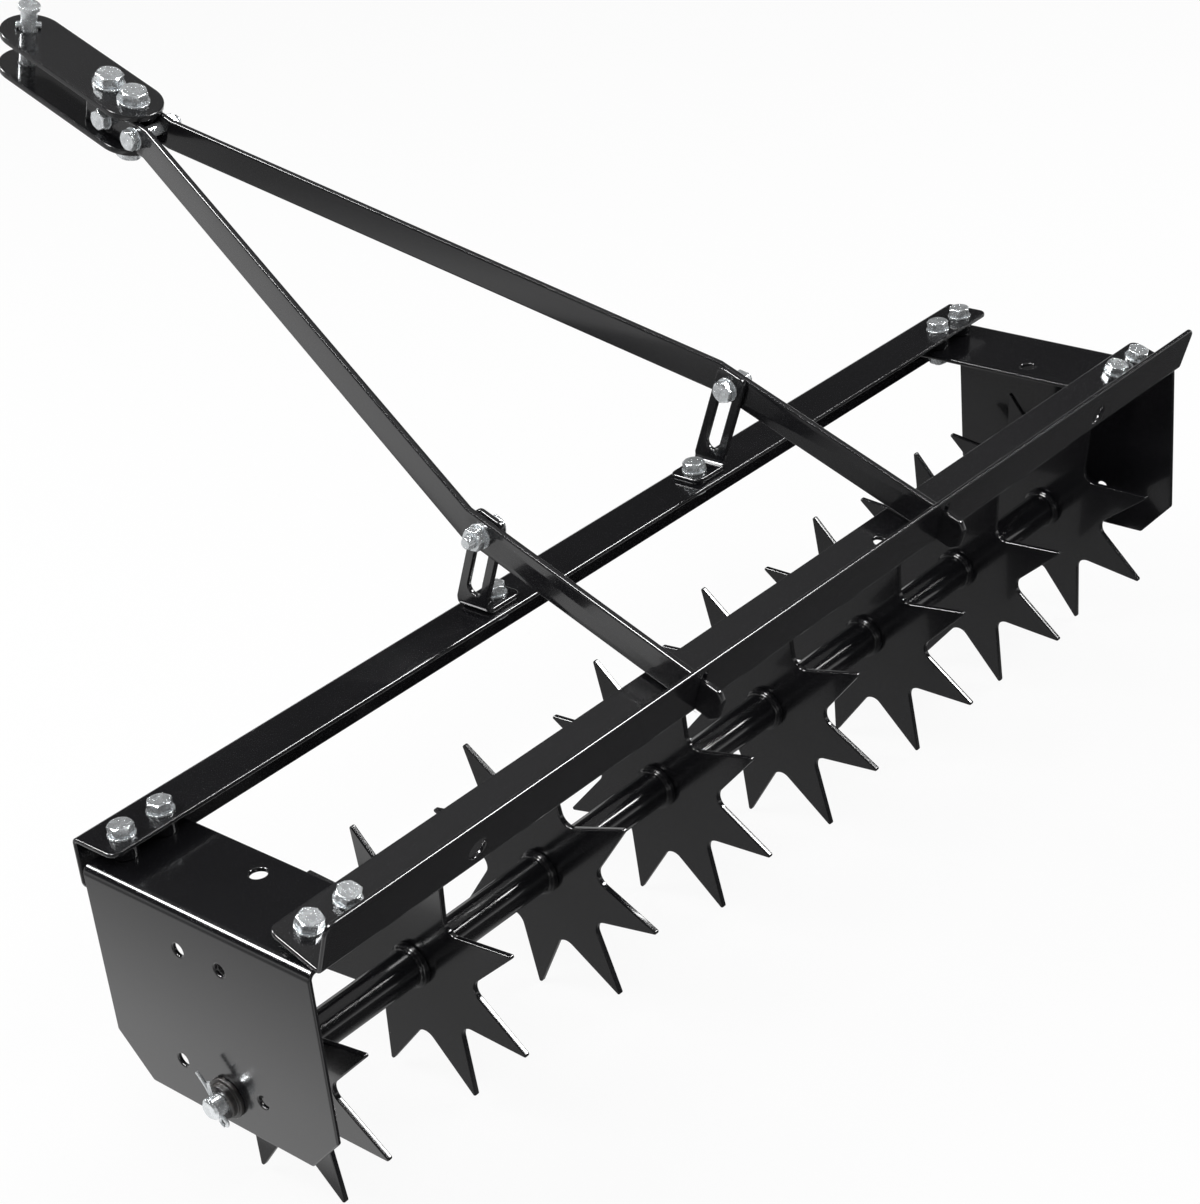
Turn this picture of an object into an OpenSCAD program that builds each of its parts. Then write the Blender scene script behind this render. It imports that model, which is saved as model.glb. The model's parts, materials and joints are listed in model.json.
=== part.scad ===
// Tow behind aerator: a bolted steel frame that carries a spiked drum,
// with an A-shaped tongue and a clevis hitch that drops onto a drawbar.
// X runs along the axle, Y forward to the hitch and Z up. The origin lies on
// the ground, in the middle of the machine's box.

/* [End brackets] */
// Width over the outside faces of the two end brackets
frame_w = 914; // [904:1:960]
// Bracket's depth from its front edge to its rear edge
bracket_d = 190; // [186:1:220]
// Bracket's height from the underside of the plate to the top of the flange
bracket_h = 146; // [140:1:160]
// Width of the bracket's top flange
flange_w = 70; // [66:1:90]
// Sheet thickness of the end brackets
bracket_t = 3.2; // [2.5:0.1:4]
// Inside radius of the bracket's fold
bracket_fold_r = 3; // [2:0.5:4]
// Depth of the cut across the plate's lower corners
corner_cut_d = 26; // [10:1:30]
// Height of the cut across the plate's lower corners
corner_cut_h = 28; // [10:1:34]
// Diameter of the four spare holes in each plate
plate_hole_d = 8.5; // [6:0.5:9]
// Distance between the two upper spare holes
upper_hole_pitch = 35; // [24:1:60]
// Upper spare holes' distance below the flange's top
upper_hole_drop = 29; // [20:1:60]
// Distance between the two lower spare holes
lower_hole_pitch = 69; // [50:1:90]
// Lower spare holes' distance below the flange's top
lower_hole_drop = 115; // [105:1:117]
// Diameter of the spare hole in each top flange
deck_hole_d = 11; // [8:0.5:13]

/* [Rails] */
// Sheet thickness of the two rails
rail_t = 3.2; // [2.5:0.1:4]
// Inside radius of the rails' folds
rail_fold_r = 1; // [0.5:0.5:2]
// Distance from the frame's outside face to each rail end
rail_inset = 4; // [1:0.5:5]
// Corner radius at the rails' ends
rail_corner_r = 7; // [3:1:9]
// Width of the front rail's flange
front_rail_w = 38; // [38:1:44]
// Height of the front rail's hanging leg
front_rail_h = 38; // [25:1:50]
// Front rail's lead ahead of the brackets' front edge
front_rail_lead = 10; // [6:0.5:12]
// Gap between the brackets and the front rail, filled by spacers
front_rail_lift = 11; // [6:0.5:16]
// Width of the rear rail's flange
rear_rail_w = 42; // [41:1:46]
// Height of the rear rail's upright
rear_rail_h = 38; // [37:1:50]
// Distance from the brackets' rear edge back to the rear rail's fold
rear_rail_lag = 5.5; // [4.5:0.5:8]
// Lean of the rear rail
rail_tilt = 19; // [17:0.5:20]
// Diameter of the two large holes in the rear rail's upright
rail_window_d = 14; // [8:1:16]
// Distance from the middle to each large hole
rail_window_x = 330; // [200:5:360]
// Height of the large holes above the rear rail's fold
rail_window_rise = 15; // [13:1:20]
// Diameter of the single hole in the rear rail's flange
tether_hole_d = 9; // [5:0.5:10]
// Distance from the middle to the single hole
tether_hole_x = 96; // [60:1:110]
// Distance from the rear rail's fold to the single hole
tether_hole_reach = 23; // [18:1:27]

/* [Fasteners] */
// Thread diameter of all bolts but the two upright ones in the hitch
bolt_d = 9.5; // [8:0.5:10]
// Hexagon size across flats
hex_af = 14.3; // [13.5:0.1:16]
// Height of a bolt head
head_h = 6.2; // [5:0.2:8]
// Height of a nut
nut_h = 7.5; // [6:0.5:9]
// Washer diameter
washer_d = 17.5; // [17:0.5:20]
// Washer thickness
washer_t = 1.5; // [1:0.1:2.5]
// Diametral clearance of a bolt in its hole
hole_clear = 1; // [0.6:0.1:1.4]
// Radial clearance between a nut and its thread
thread_clear = 0.05; // [0.02:0.01:0.1]
// Least length of thread that stands out of a nut
thread_out = 2; // [1:0.5:3]
// Distance from the frame's outside face to the outer rail bolt
rail_bolt_inset = 23; // [20:0.5:24]
// Distance between the two bolts at each rail end
rail_bolt_pitch = 30; // [28:0.5:32]
// Front bolts' distance behind the front rail's face
front_bolt_setback = 24; // [20:0.5:26]
// Rear bolts' distance from the rear rail's fold
rear_bolt_setback = 28; // [26:0.5:30]
// Outside diameter of the spacers under the front rail
spacer_d = 16; // [14:0.5:20]
// Length of the wedge seats under the rear rail
seat_l = 56; // [52:1:58]
// Depth of the wedge seats
seat_d = 30; // [26:0.5:31]
// Distance from the brackets' rear edge to the wedge seats
seat_setback = 2; // [1:0.5:3]
// Thickness of the taper washers at their thin edge
taper_thin = 1.5; // [1:0.1:3]

/* [Drum] */
// Distance from the brackets' front edge back to the axle
axle_setback = 98; // [90:1:105]
// Distance from the brackets' top down to the axle
axle_drop = 125; // [119:0.5:126]
// Number of teeth on each disc
tooth_count = 8; // [6:1:10]
// Radius over the tips of the teeth
tip_radius = 95; // [88:0.5:100]
// Width of a tooth's flat tip
tip_w = 2; // [1:0.5:4]
// Angle between the two sides of a tooth
tooth_angle = 37; // [32:0.5:40]
// Radius of the round gullet between two teeth
gullet_r = 8.5; // [5:0.5:10]
// Thickness of a disc
disc_t = 4; // [3:0.5:5]
// Distance from the frame's outside face to the middle of the outer disc
outer_disc_inset = 37; // [24:1:60]
// Outside diameter of the axle tube
tube_d = 25; // [22:0.5:30]
// Wall of the axle tube
tube_wall = 2.5; // [2:0.1:2.7]
// Outside diameter of the collars beside the discs
collar_d = 31; // [31:0.5:38]
// Length of a collar
collar_l = 5; // [3:0.5:10]
// Diametral clearance between the tube and what sits on it
tube_clear = 0.1; // [0.05:0.05:0.2]
// Diameter of the axle's journals
journal_d = 14; // [13:0.5:16]
// Length of a stub's plug inside the tube
plug_l = 40; // [20:1:60]
// Radial running clearance of a journal in its bushing
journal_clear = 0.05; // [0.02:0.01:0.09]
// End float between the tube and each bushing
end_float = 0.8; // [0.3:0.1:1]
// Diameter of the bushing's barrel in the plate
barrel_d = 20; // [20:0.5:24]
// Length of the barrel inside the plate
barrel_in = 3; // [1:0.5:6]
// Diameter of the bushing's flange
bush_flange_d = 27; // [26:0.5:32]
// Thickness of the bushing's flange
bush_flange_t = 3; // [1.5:0.5:4]
// Diameter of the bushing's nose
nose_d = 22.5; // [21:0.5:25]
// Length of the bushing's nose beyond its flange
nose_l = 4; // [3:0.5:9]
// Wire diameter of the split pins' shank
split_pin_d = 3.6; // [3:0.2:4.6]
// Gap between a bushing's face and the split pin
split_pin_gap = 1; // [0.5:0.5:3]
// Distance from a split pin to the end of the axle
split_pin_edge = 6; // [5:0.5:12]
// Wire diameter of the split pins' legs and eye
split_leg_d = 2.4; // [1.8:0.1:2.8]
// Direction in which the split pins' legs point, from level
split_pin_angle = 68; // [0:1:90]

/* [Tongue] */
// Rise of the tongue towards the hitch
tongue_tilt = 21; // [20:0.5:22]
// Thickness of the two tow bars
bar_t = 5; // [4:0.5:6]
// Height of the tow bars, which stand on edge
bar_h = 24; // [22:0.5:26]
// Clearance between the rear rail and the bars that pass over it
bar_lift = 0.3; // [0.2:0.1:1]
// Distance from the middle to each bar where they lie side by side
bar_x = 130; // [120:1:140]
// Distance from the middle to each bar inside the hitch
hitch_bar_x = 12; // [11:0.5:13]
// Length of each bar behind the rear rail
tail_out = 17.5; // [10:0.5:30]
// Cut across the corners of each tail
tail_cut = 5; // [2:0.5:8]
// Distance from the slot bolts to the bars' first bend
bend_lead = 14.5; // [14:0.5:40]
// Distance from the bars' second bend to the hitch plates
hitch_bend_lead = 8; // [8:1:60]
// Length of the bars between the hitch plates
bar_in_hitch = 57; // [51:1:80]
// Side clearance of a bar in its slot in the rear rail
bar_side_clear = 0.75; // [0.5:0.05:1.5]
// How far the hitch swings down from its highest setting
tongue_swing = 5; // [2:0.5:5]

/* [Hitch] */
// Distance from the rear rail to the rear end of the hitch plates
plate_reach = 640; // [560:1:720]
// Length of a hitch plate
hitch_plate_l = 160; // [150:1:200]
// Width of a hitch plate
hitch_plate_w = 49; // [46:1:56]
// Thickness of a hitch plate
hitch_plate_t = 5; // [4:0.5:6]
// Distance from the hitch plates' rear end to the first upright bolt
upright_bolt_edge = 22; // [21:0.5:24]
// Distance between the two upright bolts
upright_bolt_pitch = 27; // [26.5:0.5:30]
// Thread diameter of the upright bolts
upright_bolt_d = 12.7; // [10:0.1:13]
// Size across flats of the upright bolts' hexagons
upright_hex_af = 19; // [17:0.5:20]
// Height of an upright bolt's head
upright_head_h = 7.8; // [6:0.2:9]
// Height of an upright bolt's nut
upright_nut_h = 11; // [9:0.5:12]
// Diameter of the upright bolts' washers
upright_washer_d = 25; // [23:0.5:26]
// Distance from the hitch plates' rear end to the rear cross bolt; the front one
// runs halfway between the upright bolts
cross_bolt_edge = 3; // [3:0.5:5]
// Diameter of the hitch pin
pin_d = 12.7; // [10:0.1:13]
// Diametral clearance of the pin in the hitch plates
pin_clear = 1.3; // [0.5:0.1:2]
// Distance from the hitch plates' front end to the pin
pin_edge = 20; // [18:0.5:24]
// Diameter of the cross pin that stops the hitch pin on the top plate
pin_stop_d = 5; // [3:0.5:6]
// Length of the cross pin
pin_stop_l = 19; // [18:0.5:26]
// Turn of the cross pin from the axle's direction
pin_stop_turn = -35; // [-90:1:90]
// Height of the pin's head above the top plate
pin_head_rise = 16.5; // [12:0.5:24]
// Diameter of the pin's head
pin_head_d = 17; // [15:0.5:20]
// Height of the pin's head
pin_head_h = 3.8; // [2:0.2:6]
// Length of the pin below the bottom plate
pin_out = 1.5; // [1:0.5:20]

/* [Lift brackets] */
// Thickness of the slotted lift brackets
lift_t = 4; // [3:0.5:5]
// Inside radius of the lift brackets' fold
lift_fold_r = 3; // [2:0.5:4]
// Width of a lift bracket's leg
lift_w = 25; // [24:0.5:28]
// Gap between a lift bracket and the faces that slide on it
lift_gap = 0.2; // [0.1:0.05:0.4]
// Height of the leg above the bar
lift_top = 1; // [0:0.5:6]
// Corner radius of the lift brackets
lift_corner_r = 6; // [3:0.5:8]
// Side clearance of the bolt in the slot
slot_side_clear = 0.6; // [0.6:0.05:1]
// Web left below the slot
slot_web = 5.5; // [4:0.5:20]
// Length of the foot from the leg's outer face inward
foot_l = 34; // [32:0.5:40]
// Foot bolts' distance behind the front rail's face
foot_bolt_setback = 19.5; // [18:0.5:22]
// Distance from the foot's end to its bolt
foot_bolt_edge = 12.5; // [11:0.5:13]

/* [Hidden] */
$fn = 64;
// Overlap of pieces that are fused, and how far a cutter runs past what it cuts
eps = 0.01;
over = 1;

// Disc turns on the tube, measured from level ahead, one for each disc
disc_phases = [18, 21, 8, 15, 13, 19, 23, 27];
disc_count = len(disc_phases);

// Frame of reference while the parts are placed: the brackets' front edge and top
half_w = frame_w / 2;
plate_inner_x = half_w - bracket_t;
bolt_hole_d = bolt_d + hole_clear;
upright_hole_d = upright_bolt_d + hole_clear;
hex_cos = cos(30);
bracket_mid_y = -bracket_d / 2;
axle_y = -axle_setback;
axle_z = -axle_drop;

front_face_y = front_rail_lead;
front_top_z = front_rail_lift + rail_t;
front_bolt_y = front_face_y - front_bolt_setback;
rail_end_x = half_w - rail_inset;
rail_bolt_xs = [half_w - rail_bolt_inset, half_w - rail_bolt_inset - rail_bolt_pitch];

// Corner of the rear rail's fold; its flange clears the brackets' rear edge
seat_clear = 0.3;
fold_y = -bracket_d - rear_rail_lag;
fold_z = seat_clear - rear_rail_lag * tan(rail_tilt);
function rail_y(u, n) = fold_y + u * cos(rail_tilt) - n * sin(rail_tilt);
function rail_z(u, n) = fold_z + u * sin(rail_tilt) + n * cos(rail_tilt);
function rail_under_z(y) = fold_z + (y - fold_y) * tan(rail_tilt);
function rail_n(y, z) = (z - fold_z) * cos(rail_tilt) - (y - fold_y) * sin(rail_tilt);

// Wedge seats lie between the brackets' flanges and the rear rail
seat_mid_x = half_w - rail_bolt_inset - rail_bolt_pitch / 2;
seat_rear_y = -bracket_d + seat_setback;
seat_front_y = seat_rear_y + seat_d;

// Taper washers turn the flange's underside square to the rear bolts
taper_mid_y = rail_y(rear_bolt_setback, 0)
    + (rail_z(rear_bolt_setback, 0) + bracket_t) * tan(rail_tilt);
taper_rear_y = taper_mid_y - washer_d / 2;
taper_front_y = taper_mid_y + washer_d / 2;
taper_n = rail_n(taper_front_y, -bracket_t - taper_thin);
function taper_z(y) = fold_z + (taper_n + (y - fold_y) * sin(rail_tilt)) / cos(rail_tilt);

// Bolts come in steps of 5 mm
function stock_length(grip, nut = nut_h) = 5 * ceil((grip + nut + thread_out) / 5);
front_grip = 2 * washer_t + rail_t + front_rail_lift + bracket_t;
rear_grip = washer_t + rail_t - taper_n;
foot_grip = 2 * washer_t + lift_t + rail_t;
slot_grip = 2 * washer_t + lift_t + 2 * lift_gap + bar_t;
upright_grip = 2 * washer_t + 2 * hitch_plate_t + bar_h;
cross_grip = 2 * washer_t + bar_t + 2 * hitch_bar_x;

// Tongue heights are measured square to the bars from the rear rail's fold
bar_low = rail_t + bar_lift;
bar_mid = bar_low + bar_h / 2;
bar_high = bar_low + bar_h;
plate_low = bar_low - hitch_plate_t;
plate_high = bar_high + hitch_plate_t;
pin_reach = plate_reach + hitch_plate_l - pin_edge;
function tongue_y(u, n) = fold_y + u * cos(tongue_tilt) - n * sin(tongue_tilt);
function tongue_z(u, n) = fold_z + u * sin(tongue_tilt) + n * cos(tongue_tilt);
function bar_u(y, z) = (y - fold_y) * cos(tongue_tilt) + (z - fold_z) * sin(tongue_tilt);
function bar_n(y, z) = (z - fold_z) * cos(tongue_tilt) - (y - fold_y) * sin(tongue_tilt);
hitch_bend_reach = plate_reach - hitch_bend_lead;
bar_reach = plate_reach + bar_in_hitch;
upright_bolt_places = [for (i = [0, 1]) plate_reach + upright_bolt_edge + i * upright_bolt_pitch];
cross_bolt_places = [
    plate_reach + cross_bolt_edge,
    plate_reach + upright_bolt_edge + upright_bolt_pitch / 2
];
slot_top_clear = 1.2;
rail_slot_top = bar_high + slot_top_clear + (rear_rail_w + rail_t) * sin(tongue_swing);

// Lift bracket: a slotted leg square to the bar, which leans from just above its
// fold, on a flat foot
leg_upright = 2;
leg_outer_x = bar_x - bar_t / 2 - lift_gap;
leg_inner_x = leg_outer_x - lift_t;
slot_w = bolt_d + 2 * slot_side_clear;
leg_base_z = front_top_z + lift_t + lift_fold_r + leg_upright;
foot_bolt_x = leg_outer_x - foot_l + foot_bolt_edge;
foot_bolt_y = front_face_y - foot_bolt_setback;
lift_reach = bar_u(foot_bolt_y, leg_base_z);
leg_base_n = bar_n(foot_bolt_y, leg_base_z);
slot_top = bar_mid + slot_w / 2;
slot_l = slot_top - leg_base_n - slot_web;
function leg_edge_y(u) = tongue_y(u, (leg_base_z - fold_z - u * sin(tongue_tilt)) / cos(tongue_tilt));
foot_rear_y = leg_edge_y(lift_reach - lift_w / 2);
foot_front_y = leg_edge_y(lift_reach + lift_w / 2);

// Each bar turns inward at its first bend and straight again at its second
bend_reach = lift_reach + bend_lead;
bend_angle = atan2(bar_x - hitch_bar_x, hitch_bend_reach - bend_reach);

// Drum along the axle
bush_face_x = half_w + bush_flange_t + nose_l;
tube_end_x = plate_inner_x - barrel_in - end_float;
split_pin_x = bush_face_x + split_pin_gap + split_pin_d / 2;
axle_end_x = split_pin_x + split_pin_edge;
disc_pitch = (frame_w - 2 * outer_disc_inset) / (disc_count - 1);
function disc_x(i) = (i - (disc_count - 1) / 2) * disc_pitch;

// Split pin's legs, each with its turn from the shank and its length
split_pin_legs = [[-16, 17], [12, 10]];
split_eye_r = 1.5 * split_leg_d;

// Tooth flanks, and the gullet circle that touches two neighbouring flanks
half_step = 180 / tooth_count;
flank = tan(tooth_angle / 2);
vertex_r = (tip_w / 2 + tip_radius * flank) / (sin(half_step) + flank * cos(half_step));
gullet_centre_r = vertex_r
    + gullet_r / cos(tooth_angle / 2) / (sin(half_step) + flank * cos(half_step));
touch_back = sqrt(pow(gullet_centre_r - vertex_r, 2) - pow(gullet_r, 2));

// The lowest tooth tip stands on the ground; the box's middle is the origin
drum_drop = max([for (p = disc_phases) for (k = [0:tooth_count - 1]) for (s = [-1, 1])
    -tip_radius * sin(p + 2 * k * half_step) - s * tip_w / 2 * cos(p + 2 * k * half_step)]);
ground_z = axle_z - drum_drop;
front_end_y = tongue_y(plate_reach + hitch_plate_l, plate_low);
rear_end_y = tongue_y(-tail_out, bar_high - tail_cut);
middle_y = (front_end_y + rear_end_y) / 2;

paint = "#232427";
zinc = "#c9ccd0";
nylon = "#15161a";

// Places

module on_ground() {
    translate([0, -middle_y, -ground_z]) children();
}

module left_and_right() {
    children();
    mirror([1, 0, 0]) children();
}

module on_right() {
    mirror([1, 0, 0]) children();
}

// Rear rail's own frame: Y along its flange, Z along its upright
module on_rear_rail() {
    translate([0, fold_y, fold_z]) rotate([rail_tilt, 0, 0]) children();
}

// Tongue's own frame: Y along the bars, Z square to them
module on_tongue() {
    translate([0, fold_y, fold_z]) rotate([tongue_tilt, 0, 0]) children();
}

module at_front_bolts(z) {
    left_and_right()
        for (x = rail_bolt_xs)
            translate([-x, front_bolt_y, z]) children();
}

module at_rear_bolts(n) {
    left_and_right()
        for (x = rail_bolt_xs)
            on_rear_rail() translate([-x, rear_bolt_setback, n]) children();
}

module at_foot_bolts(z) {
    left_and_right() translate([-foot_bolt_x, foot_bolt_y, z]) children();
}

// Along the axle on the left, with Z pointing outward
module on_axle_left(x) {
    translate([-x, axle_y, axle_z]) rotate([0, -90, 0]) children();
}

// Profiles

// Bent sheet with its outer corner at the origin, one leg along X and one along Y
module bent_profile(w, h, t, r) {
    outer_r = r + t;
    translate([outer_r, 0]) square([w - outer_r, t]);
    translate([0, outer_r]) square([t, h - outer_r]);
    intersection() {
        translate([outer_r, outer_r]) difference() {
            circle(outer_r);
            circle(r);
        }
        square([outer_r, outer_r]);
    }
}

// What is cut away to round a corner that lies at the origin
module corner_waste(r, t) {
    translate([0, 0, -over]) difference() {
        translate([-over, -over, 0]) cube([r + over, r + over, t + 2 * over]);
        translate([r, r, -over]) cylinder(r = r, h = t + 4 * over);
    }
}

module obround(l, w) {
    translate([w / 2, -w / 2]) square([l - w, w]);
    translate([w / 2, 0]) circle(w / 2);
    translate([l - w / 2, 0]) circle(w / 2);
}

// Fasteners, standing on their seat with the shank below it

module hex_prism(af, h) {
    cylinder(d = af / hex_cos, h = h, $fn = 6);
}

// Without their own sizes these are the frame's bolts, nuts and washers
module hex_bolt(length, d = bolt_d, af = hex_af, h = head_h) {
    chamfer = 1;
    hex_prism(af, h);
    translate([0, 0, -length + chamfer]) cylinder(d = d, h = length - chamfer + eps);
    translate([0, 0, -length]) cylinder(d1 = d - 2 * chamfer, d2 = d, h = chamfer);
}

module hex_nut(d = bolt_d, af = hex_af, h = nut_h) {
    difference() {
        hex_prism(af, h);
        drill(d + 2 * thread_clear, h);
    }
}

module washer(d = washer_d, bore = bolt_hole_d) {
    difference() {
        cylinder(d = d, h = washer_t);
        drill(bore, washer_t);
    }
}

// A hole along Z through a thickness h that stands on the origin's plane
module drill(d, h) {
    translate([0, 0, -over]) cylinder(d = d, h = h + 2 * over);
}

// End brackets

module plate_corner_waste() {
    translate([-half_w - over, 0, -bracket_h])
        rotate([90, 0, 90])
            linear_extrude(height = bracket_t + 2 * over)
                polygon([
                    [-corner_cut_d, -over], [over, -over],
                    [over, corner_cut_h], [0, corner_cut_h], [-corner_cut_d, 0]
                ]);
}

module plate_holes() {
    for (s = [-1, 1]) {
        translate([0, bracket_mid_y + s * upper_hole_pitch / 2, -upper_hole_drop]) children();
        translate([0, bracket_mid_y + s * lower_hole_pitch / 2, -lower_hole_drop]) children();
    }
}

module bracket() {
    difference() {
        translate([-half_w, -bracket_d, 0])
            rotate([-90, 0, 0])
                linear_extrude(height = bracket_d)
                    bent_profile(flange_w, bracket_h, bracket_t, bracket_fold_r);
        plate_corner_waste();
        translate([0, -bracket_d, 0]) mirror([0, 1, 0]) plate_corner_waste();
        plate_holes() translate([-half_w, 0, 0]) rotate([0, 90, 0]) drill(plate_hole_d, bracket_t);
        translate([-plate_inner_x, axle_y, axle_z])
            rotate([0, -90, 0]) drill(barrel_d + tube_clear, bracket_t);
        translate([-rail_bolt_xs[1], bracket_mid_y, -bracket_t]) drill(deck_hole_d, bracket_t);
        at_front_bolts(-bracket_t) drill(bolt_hole_d, bracket_t);
        at_rear_bolts(taper_n) drill(bolt_hole_d, -taper_n);
    }
}

module bracket_left() {
    color(paint) bracket();
}

module bracket_right() {
    color(paint) on_right() bracket();
}

// Rails

module front_rail() {
    color(paint)
    difference() {
        translate([-rail_end_x, front_face_y, front_top_z])
            mirror([0, 1, 0]) mirror([0, 0, 1]) rotate([90, 0, 90])
                linear_extrude(height = 2 * rail_end_x)
                    bent_profile(front_rail_w, front_rail_h, rail_t, rail_fold_r);
        left_and_right() {
            translate([-rail_end_x, front_face_y - front_rail_w, front_rail_lift])
                corner_waste(rail_corner_r, rail_t);
            translate([-rail_end_x, front_face_y, front_top_z - front_rail_h])
                rotate([90, 0, 0]) corner_waste(rail_corner_r, rail_t);
        }
        at_front_bolts(front_rail_lift) drill(bolt_hole_d, rail_t);
        at_foot_bolts(front_rail_lift) drill(bolt_hole_d, rail_t);
    }
}

// Upright slot that a tow bar passes through, clear of the fold's inside
module bar_slot() {
    slot_half = bar_t / 2 + bar_side_clear;
    translate([-bar_x - slot_half, -over, rail_t])
        cube([2 * slot_half, over + rail_t + rail_fold_r, rail_slot_top - rail_t]);
}

module rear_rail() {
    color(paint)
    difference() {
        on_rear_rail()
            translate([-rail_end_x, 0, 0]) rotate([90, 0, 90])
                linear_extrude(height = 2 * rail_end_x)
                    bent_profile(rear_rail_w, rear_rail_h, rail_t, rail_fold_r);
        left_and_right() on_rear_rail() {
            translate([-rail_end_x, rear_rail_w, 0])
                mirror([0, 1, 0]) corner_waste(rail_corner_r, rail_t);
            translate([-rail_end_x, rail_t, rear_rail_h])
                rotate([90, 0, 0]) mirror([0, 1, 0]) corner_waste(rail_corner_r, rail_t);
            bar_slot();
            translate([-rail_window_x, rail_t, rail_window_rise])
                rotate([90, 0, 0]) drill(rail_window_d, rail_t);
        }
        on_rear_rail()
            translate([tether_hole_x, tether_hole_reach, 0]) drill(tether_hole_d, rail_t);
        at_rear_bolts(0) drill(bolt_hole_d, rail_t);
    }
}

module rear_seat() {
    difference() {
        translate([-seat_mid_x - seat_l / 2, 0, 0]) rotate([90, 0, 90])
            linear_extrude(height = seat_l)
                polygon([
                    [seat_rear_y, 0], [seat_front_y, 0],
                    [seat_front_y, rail_under_z(seat_front_y)], [seat_rear_y, rail_under_z(seat_rear_y)]
                ]);
        at_rear_bolts(taper_n) drill(bolt_hole_d, -taper_n);
    }
}

module rear_seat_left() {
    color(paint) rear_seat();
}

module rear_seat_right() {
    color(paint) on_right() rear_seat();
}

// Rail fasteners

module front_spacers() {
    color(paint)
    at_front_bolts(0) difference() {
        cylinder(d = spacer_d, h = front_rail_lift);
        drill(bolt_hole_d, front_rail_lift);
    }
}

module front_rail_bolts() {
    color(zinc) at_front_bolts(front_top_z + washer_t) hex_bolt(stock_length(front_grip));
}

module front_rail_washers() {
    color(zinc) {
        at_front_bolts(front_top_z) washer();
        at_front_bolts(-bracket_t - washer_t) washer();
    }
}

module front_rail_nuts() {
    color(zinc) at_front_bolts(-bracket_t - washer_t - nut_h) hex_nut();
}

module rear_rail_bolts() {
    color(zinc) at_rear_bolts(rail_t + washer_t) hex_bolt(stock_length(rear_grip));
}

module rear_rail_washers() {
    color(zinc) at_rear_bolts(rail_t) washer();
}

module taper_washer(x) {
    translate([-x - washer_d / 2, 0, 0]) rotate([90, 0, 90])
        linear_extrude(height = washer_d)
            polygon([
                [taper_rear_y, -bracket_t], [taper_front_y, -bracket_t],
                [taper_front_y, taper_z(taper_front_y)], [taper_rear_y, taper_z(taper_rear_y)]
            ]);
}

module rear_taper_washers() {
    color(zinc)
    difference() {
        left_and_right() for (x = rail_bolt_xs) taper_washer(x);
        at_rear_bolts(taper_n) drill(bolt_hole_d, -taper_n);
    }
}

module rear_rail_nuts() {
    color(zinc) at_rear_bolts(taper_n - nut_h) hex_nut();
}

// Lift brackets

module lift_leg_outline() {
    low = leg_base_n - lift_w;
    high = bar_high + lift_top;
    r = lift_corner_r;
    difference() {
        translate([lift_reach - lift_w / 2, 0]) {
            translate([0, low]) square([lift_w, high - r - low]);
            translate([r, high - r - eps]) square([lift_w - 2 * r, r + eps]);
            translate([r, high - r]) circle(r);
            translate([lift_w - r, high - r]) circle(r);
        }
        translate([lift_reach, slot_top]) rotate(-90) obround(slot_l, slot_w);
    }
}

module lift_leg() {
    leg_l = slot_l + 2 * lift_w;
    difference() {
        on_tongue() translate([-leg_outer_x, 0, 0]) rotate([90, 0, 90])
            linear_extrude(height = lift_t) lift_leg_outline();
        translate([-leg_outer_x - over, foot_bolt_y - leg_l, leg_base_z - leg_l])
            cube([lift_t + 2 * over, 2 * leg_l, leg_l]);
    }
}

module lift_foot() {
    foot_w = foot_front_y - foot_rear_y;
    translate([-leg_outer_x, foot_front_y, front_top_z]) rotate([90, 0, 0])
        linear_extrude(height = foot_w)
            bent_profile(foot_l, leg_base_z - front_top_z, lift_t, lift_fold_r);
}

module lift_bracket() {
    foot_end_x = -leg_outer_x + foot_l;
    difference() {
        union() {
            lift_leg();
            lift_foot();
        }
        translate([foot_end_x, foot_rear_y, front_top_z])
            mirror([1, 0, 0]) corner_waste(lift_corner_r, lift_t);
        translate([foot_end_x, foot_front_y, front_top_z])
            mirror([1, 0, 0]) mirror([0, 1, 0]) corner_waste(lift_corner_r, lift_t);
        at_foot_bolts(front_top_z) drill(bolt_hole_d, lift_t);
    }
}

module lift_bracket_left() {
    color(paint) lift_bracket();
}

module lift_bracket_right() {
    color(paint) on_right() lift_bracket();
}

module foot_bolts() {
    color(zinc) at_foot_bolts(front_top_z + lift_t + washer_t) hex_bolt(stock_length(foot_grip));
}

module foot_washers() {
    color(zinc) {
        at_foot_bolts(front_top_z + lift_t) washer();
        at_foot_bolts(front_rail_lift - washer_t) washer();
    }
}

module foot_nuts() {
    color(zinc) at_foot_bolts(front_rail_lift - washer_t - nut_h) hex_nut();
}

// Drum

module bushing() {
    difference() {
        on_axle_left(plate_inner_x - barrel_in) {
            cylinder(d = barrel_d, h = barrel_in + bracket_t + eps);
            translate([0, 0, barrel_in + bracket_t]) {
                cylinder(d = bush_flange_d, h = bush_flange_t);
                translate([0, 0, bush_flange_t - eps]) cylinder(d = nose_d, h = nose_l + eps);
            }
        }
        on_axle_left(plate_inner_x - barrel_in)
            drill(journal_d + 2 * journal_clear, barrel_in + bracket_t + bush_flange_t + nose_l);
    }
}

module bushing_left() {
    color(nylon) bushing();
}

module bushing_right() {
    color(nylon) on_right() bushing();
}

module axle_tube() {
    color(paint)
    on_axle_left(-tube_end_x) difference() {
        cylinder(d = tube_d, h = 2 * tube_end_x);
        drill(tube_d - 2 * tube_wall, 2 * tube_end_x);
    }
}

// Where the split pins run, with Z along the pin towards its legs
module at_split_pin() {
    translate([-split_pin_x, axle_y, axle_z])
        rotate([split_pin_angle, 0, 0]) rotate([-90, 0, 0]) children();
}

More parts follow.
